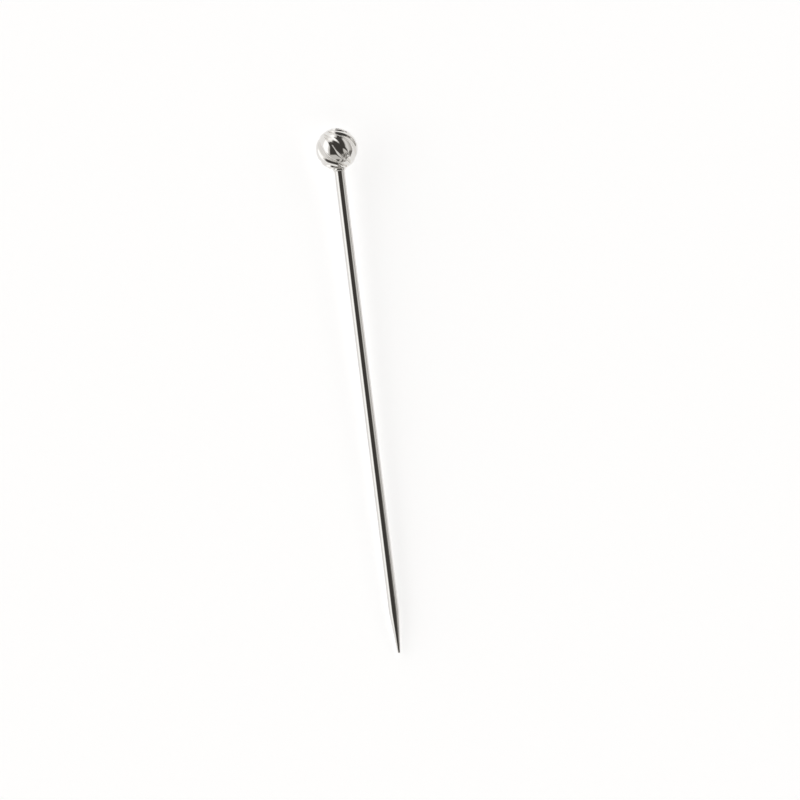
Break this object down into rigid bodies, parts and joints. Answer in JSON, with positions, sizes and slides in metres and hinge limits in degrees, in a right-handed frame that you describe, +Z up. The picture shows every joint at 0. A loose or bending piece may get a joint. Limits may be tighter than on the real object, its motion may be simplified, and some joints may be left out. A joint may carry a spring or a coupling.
{
  "type": "cocktail pick",
  "caption": "Slim metal cocktail pick: a ball with twisted rope-like lobes and a small bead under it, on a plain round rod that tapers to a rounded point.",
  "frame": {"origin": "centre of the footprint, on the table the pick lies on", "axes": "+Y towards the ball end and along the pick, which rises about 2 degrees towards the ball; +Z up from the table; +X to the right"},
  "size_m": [0.01, 0.127, 0.0096],
  "materials": {
    "polished_head": "mirror polish, nickel-bright, with the grooves a little duller",
    "polished_rod": "mirror polish with faint lengthwise drawing lines"
  },
  "bodies": {
    "root": {"head": "polished_head", "rod": "polished_rod"}
  },
  "joints": []
}
